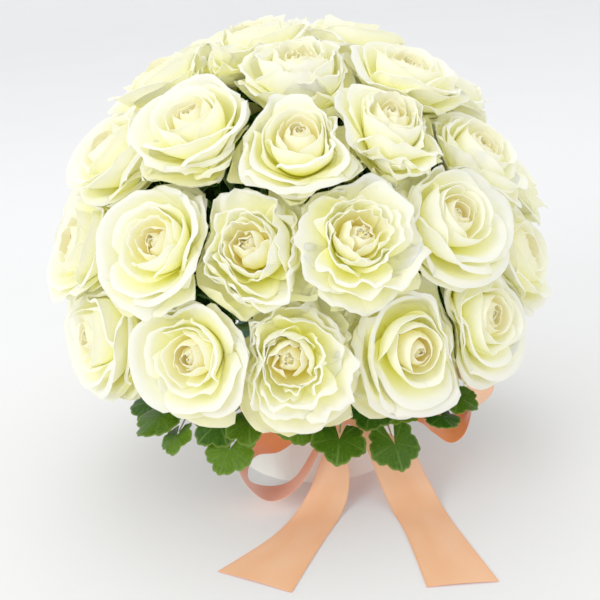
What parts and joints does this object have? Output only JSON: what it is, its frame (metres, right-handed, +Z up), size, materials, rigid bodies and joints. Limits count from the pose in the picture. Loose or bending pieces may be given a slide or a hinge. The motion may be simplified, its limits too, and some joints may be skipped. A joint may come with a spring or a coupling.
{
  "type": "rose box arrangement",
  "caption": "Ball of open ivory-white roses on a small round white box, lobed leaves under the blooms, peach satin ribbon bow with two long tails on the table.",
  "frame": {"origin": "centre of the box's flat underside, on the table", "axes": "+X to the right seen from the front, +Y to the back (the bow is at -Y), +Z up"},
  "size_m": [0.4086, 0.4283, 0.3643],
  "materials": {
    "rose_petal": "soft matt petal",
    "leaf_green": "matt leaf",
    "ribbon_satin": "satin",
    "box_paper": "matt card",
    "liner_plastic": "matt",
    "foam_green": "matt, open-celled"
  },
  "bodies": {
    "root": {"box": "box_paper", "liner": "liner_plastic", "foam": "foam_green", "ribbon_band": "ribbon_satin", "ribbon_knot": "ribbon_satin", "ribbon_loop_left": "ribbon_satin", "ribbon_loop_right": "ribbon_satin", "ribbon_tail_left": "ribbon_satin", "ribbon_tail_right": "ribbon_satin", "leaf_sprig_01": "leaf_green", "leaf_sprig_02": "leaf_green", "leaf_sprig_03": "leaf_green", "leaf_sprig_04": "leaf_green", "leaf_sprig_05": "leaf_green", "leaf_sprig_06": "leaf_green", "leaf_sprig_07": "leaf_green", "leaf_sprig_08": "leaf_green", "rose_01": "rose_petal", "rose_02": "rose_petal", "rose_03": "rose_petal", "rose_04": "rose_petal", "rose_05": "rose_petal", "rose_06": "rose_petal", "rose_07": "rose_petal", "rose_08": "rose_petal", "rose_09": "rose_petal", "rose_10": "rose_petal", "rose_11": "rose_petal", "rose_12": "rose_petal", "rose_13": "rose_petal", "rose_14": "rose_petal", "rose_15": "rose_petal", "rose_16": "rose_petal", "rose_17": "rose_petal", "rose_18": "rose_petal", "rose_19": "rose_petal", "rose_20": "rose_petal", "rose_21": "rose_petal", "rose_22": "rose_petal", "rose_23": "rose_petal", "rose_24": "rose_petal", "rose_25": "rose_petal", "rose_26": "rose_petal", "rose_27": "rose_petal", "rose_28": "rose_petal", "rose_29": "rose_petal", "rose_30": "rose_petal", "rose_31": "rose_petal", "rose_32": "rose_petal", "rose_33": "rose_petal", "rose_34": "rose_petal", "rose_35": "rose_petal", "rose_36": "rose_petal", "rose_37": "rose_petal", "rose_38": "rose_petal", "rose_39": "rose_petal", "rose_40": "rose_petal", "rose_41": "rose_petal", "rose_42": "rose_petal"}
  },
  "joints": []
}
